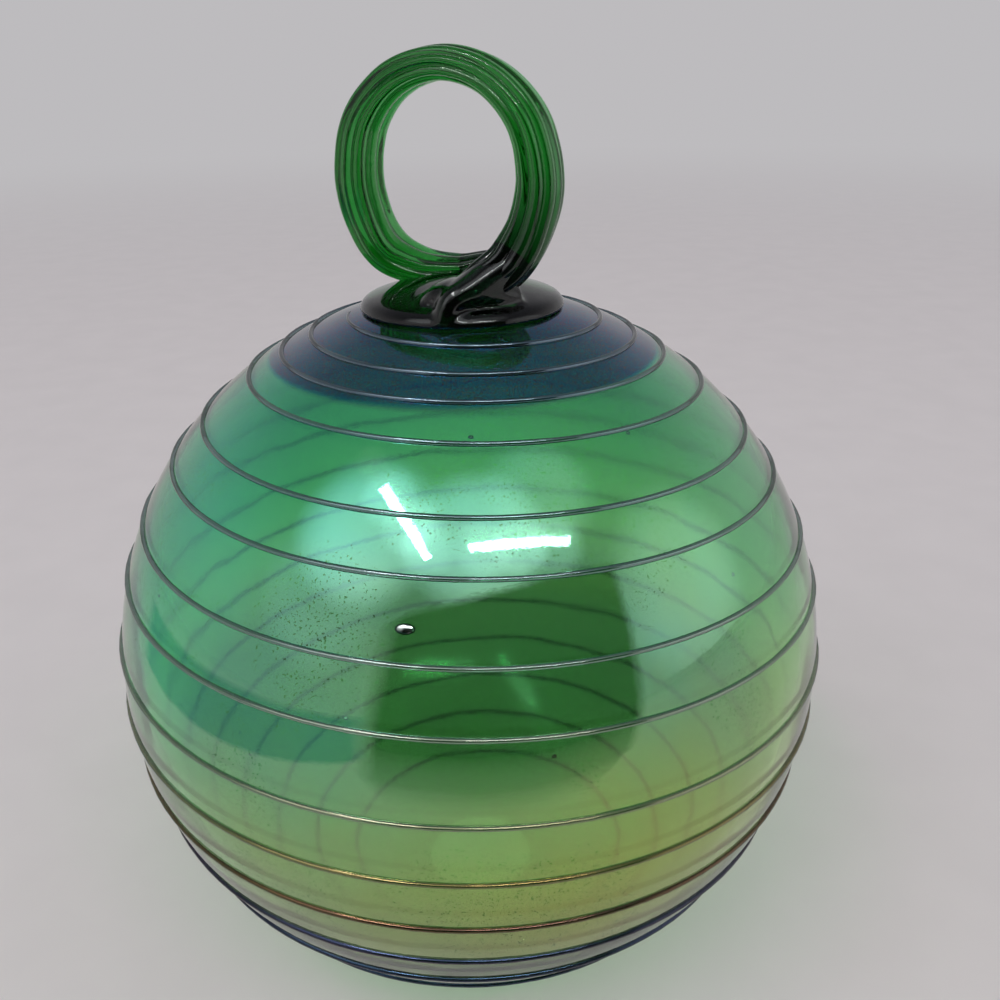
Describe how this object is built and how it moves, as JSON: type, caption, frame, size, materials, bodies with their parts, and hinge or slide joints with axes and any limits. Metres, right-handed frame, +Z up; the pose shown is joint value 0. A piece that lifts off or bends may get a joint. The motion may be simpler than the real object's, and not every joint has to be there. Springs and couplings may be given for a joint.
{
  "type": "glass ball ornament",
  "caption": "Hand-blown hollow glass ball with a fine spiral glass thread, a rounded seal over its blow hole and a ribbed glass hanging loop; it also stands on a small flat.",
  "frame": {"origin": "centre of the flat under the ball, on the surface that it stands on", "axes": "+Z up the winding axis of the thread, +X to the right and +Y away from the side where the loop's strand leaves the front of the seal"},
  "size_m": [0.1012, 0.1011, 0.1291],
  "materials": {
    "globe_glass": "thin blown green glass with a metallic, faintly iridescent lustre",
    "thread_glass": "dark blue-green trailed glass, fire polished",
    "seal_glass": "deep green glass with a dark lustre, fire polished",
    "loop_glass": "bright green ribbed glass, fire polished"
  },
  "bodies": {
    "root": {"globe": "globe_glass", "thread": "thread_glass", "seal": "seal_glass", "loop": "loop_glass"}
  },
  "joints": []
}
